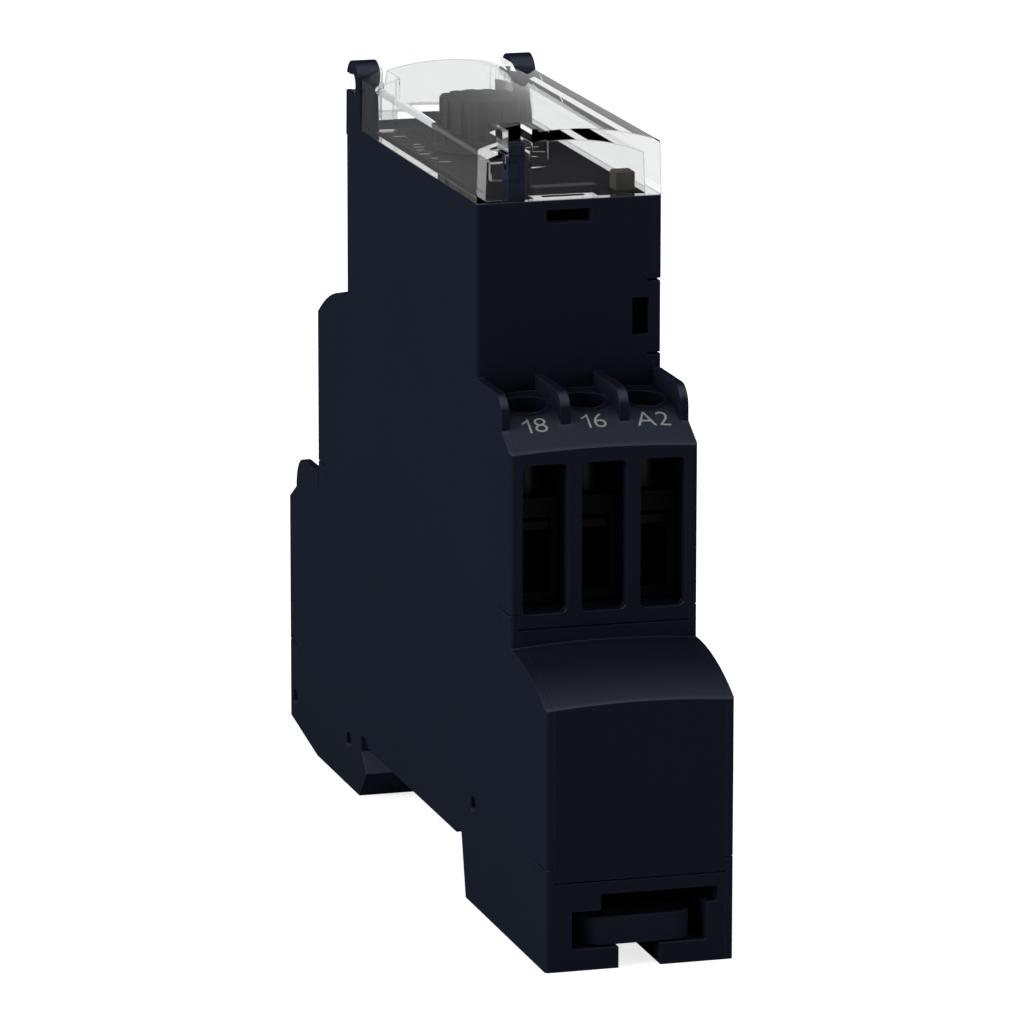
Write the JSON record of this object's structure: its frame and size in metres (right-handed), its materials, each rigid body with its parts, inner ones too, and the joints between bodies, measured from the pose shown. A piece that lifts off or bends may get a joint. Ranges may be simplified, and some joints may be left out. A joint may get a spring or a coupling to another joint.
{
  "type": "DIN rail time relay",
  "caption": "Narrow DIN rail time relay with a stepped dark housing, screw terminals and a clear hinged cover over its dials.",
  "frame": {"origin": "middle of the outer box, on the plane of the feet", "axes": "+Z from the DIN rail towards the dials, +Y along the housing away from the clip, +X along the rail"},
  "size_m": [0.0176, 0.09, 0.072],
  "materials": {
    "housing_plastic": "fine matt texture",
    "clip_plastic": "matt",
    "fascia_plastic": "matt with pale scale ticks",
    "knob_plastic": "satin",
    "dial_plastic": "satin",
    "clear_plastic": "clear and polished",
    "guide_plastic": "milky",
    "led_lens": "clear epoxy",
    "board_laminate": "green solder mask",
    "contact_metal": "bare copper alloy",
    "cage_steel": "zinc plated",
    "screw_steel": "zinc plated",
    "relay_case": "satin",
    "film_case": "smooth",
    "can_metal": "drawn",
    "varistor_coat": "dipped coating",
    "resistor_coat": "lacquer",
    "chip_case": "moulded",
    "header_plastic": "moulded",
    "switch_plastic": "moulded"
  },
  "bodies": {
    "enclosure": {"housing": "housing_plastic", "side_cover": "housing_plastic", "front_terminal_block": "housing_plastic", "rear_terminal_block": "housing_plastic", "front_blank_cover": "housing_plastic", "rear_blank_cover": "housing_plastic", "fascia": "fascia_plastic", "light_guide": "guide_plastic", "status_led": "led_lens", "main_board": "board_laminate", "front_board": "board_laminate", "board_header": "header_plastic", "output_relay": "relay_case", "dropper_capacitor": "film_case", "smoothing_capacitor": "can_metal", "surge_varistor": "varistor_coat", "fuse_resistor": "resistor_coat", "control_chip": "chip_case", "time_pot_body": "switch_plastic", "range_switch_body": "switch_plastic", "mode_switch_body": "switch_plastic", "front_left_contact": "contact_metal", "front_middle_contact": "contact_metal", "front_right_contact": "contact_metal", "rear_left_contact": "contact_metal", "rear_middle_contact": "contact_metal", "rear_right_contact": "contact_metal"},
    "front_left_cage": {"front_left_cage": "cage_steel"},
    "front_left_screw": {"front_left_screw": "screw_steel"},
    "front_middle_cage": {"front_middle_cage": "cage_steel"},
    "front_middle_screw": {"front_middle_screw": "screw_steel"},
    "front_right_cage": {"front_right_cage": "cage_steel"},
    "front_right_screw": {"front_right_screw": "screw_steel"},
    "rear_left_cage": {"rear_left_cage": "cage_steel"},
    "rear_left_screw": {"rear_left_screw": "screw_steel"},
    "rear_middle_cage": {"rear_middle_cage": "cage_steel"},
    "rear_middle_screw": {"rear_middle_screw": "screw_steel"},
    "rear_right_cage": {"rear_right_cage": "cage_steel"},
    "rear_right_screw": {"rear_right_screw": "screw_steel"},
    "cover": {"clear_cover": "clear_plastic"},
    "knob": {"time_knob": "knob_plastic"},
    "range_dial": {"range_selector": "dial_plastic"},
    "mode_dial": {"mode_selector": "dial_plastic"},
    "clip": {"din_clip": "clip_plastic"}
  },
  "joints": [
    {"name": "front_left_clamp", "type": "slide", "parent": "enclosure", "child": "front_left_cage", "axis": [0, 0, 1], "range_m": [0, 0.004]},
    {"name": "front_left_turn", "type": "hinge", "parent": "enclosure", "child": "front_left_screw", "pos_m": [-0.0055, -0.0269, 0.045], "axis": [0, 0, -1], "range_deg": [0, 2880]},
    {"name": "front_middle_clamp", "type": "slide", "parent": "enclosure", "child": "front_middle_cage", "axis": [0, 0, 1], "range_m": [0, 0.004]},
    {"name": "front_middle_turn", "type": "hinge", "parent": "enclosure", "child": "front_middle_screw", "pos_m": [0, -0.0269, 0.045], "axis": [0, 0, -1], "range_deg": [0, 2880]},
    {"name": "front_right_clamp", "type": "slide", "parent": "enclosure", "child": "front_right_cage", "axis": [0, 0, 1], "range_m": [0, 0.004]},
    {"name": "front_right_turn", "type": "hinge", "parent": "enclosure", "child": "front_right_screw", "pos_m": [0.0055, -0.0269, 0.045], "axis": [0, 0, -1], "range_deg": [0, 2880]},
    {"name": "rear_left_clamp", "type": "slide", "parent": "enclosure", "child": "rear_left_cage", "axis": [0, 0, 1], "range_m": [0, 0.004]},
    {"name": "rear_left_turn", "type": "hinge", "parent": "enclosure", "child": "rear_left_screw", "pos_m": [-0.0055, 0.03815, 0.02435], "axis": [0, 0, -1], "range_deg": [0, 2880]},
    {"name": "rear_middle_clamp", "type": "slide", "parent": "enclosure", "child": "rear_middle_cage", "axis": [0, 0, 1], "range_m": [0, 0.004]},
    {"name": "rear_middle_turn", "type": "hinge", "parent": "enclosure", "child": "rear_middle_screw", "pos_m": [0, 0.03815, 0.02435], "axis": [0, 0, -1], "range_deg": [0, 2880]},
    {"name": "rear_right_clamp", "type": "slide", "parent": "enclosure", "child": "rear_right_cage", "axis": [0, 0, 1], "range_m": [0, 0.004]},
    {"name": "rear_right_turn", "type": "hinge", "parent": "enclosure", "child": "rear_right_screw", "pos_m": [0.0055, 0.03815, 0.02435], "axis": [0, 0, -1], "range_deg": [0, 2880]},
    {"name": "cover_hinge", "type": "hinge", "parent": "enclosure", "child": "cover", "pos_m": [0, 0.0201, 0.0694], "axis": [-1, 0, 0], "range_deg": [0, 100]},
    {"name": "knob_turn", "type": "hinge", "parent": "enclosure", "child": "knob", "pos_m": [-0.0008, 0.0035, 0.068], "axis": [0, 0, 1], "range_deg": [-135, 135]},
    {"name": "range_turn", "type": "hinge", "parent": "enclosure", "child": "range_dial", "pos_m": [0, 0.0103, 0.065], "axis": [0, 0, 1], "range_deg": [-135, 135]},
    {"name": "mode_turn", "type": "hinge", "parent": "enclosure", "child": "mode_dial", "pos_m": [0, 0.0146, 0.065], "axis": [0, 0, 1], "range_deg": [-135, 135]},
    {"name": "clip_slide", "type": "slide", "parent": "enclosure", "child": "clip", "axis": [0, -1, 0], "range_m": [0, 0.0026], "stiffness_N_per_m": 1500, "springref_m": -0.0005}
  ],
  "couplings": [
    {"joint": "front_left_turn", "follows": "front_left_clamp", "rad_per_m": 12566},
    {"joint": "front_middle_turn", "follows": "front_middle_clamp", "rad_per_m": 12566},
    {"joint": "front_right_turn", "follows": "front_right_clamp", "rad_per_m": 12566},
    {"joint": "rear_left_turn", "follows": "rear_left_clamp", "rad_per_m": 12566},
    {"joint": "rear_middle_turn", "follows": "rear_middle_clamp", "rad_per_m": 12566},
    {"joint": "rear_right_turn", "follows": "rear_right_clamp", "rad_per_m": 12566}
  ]
}
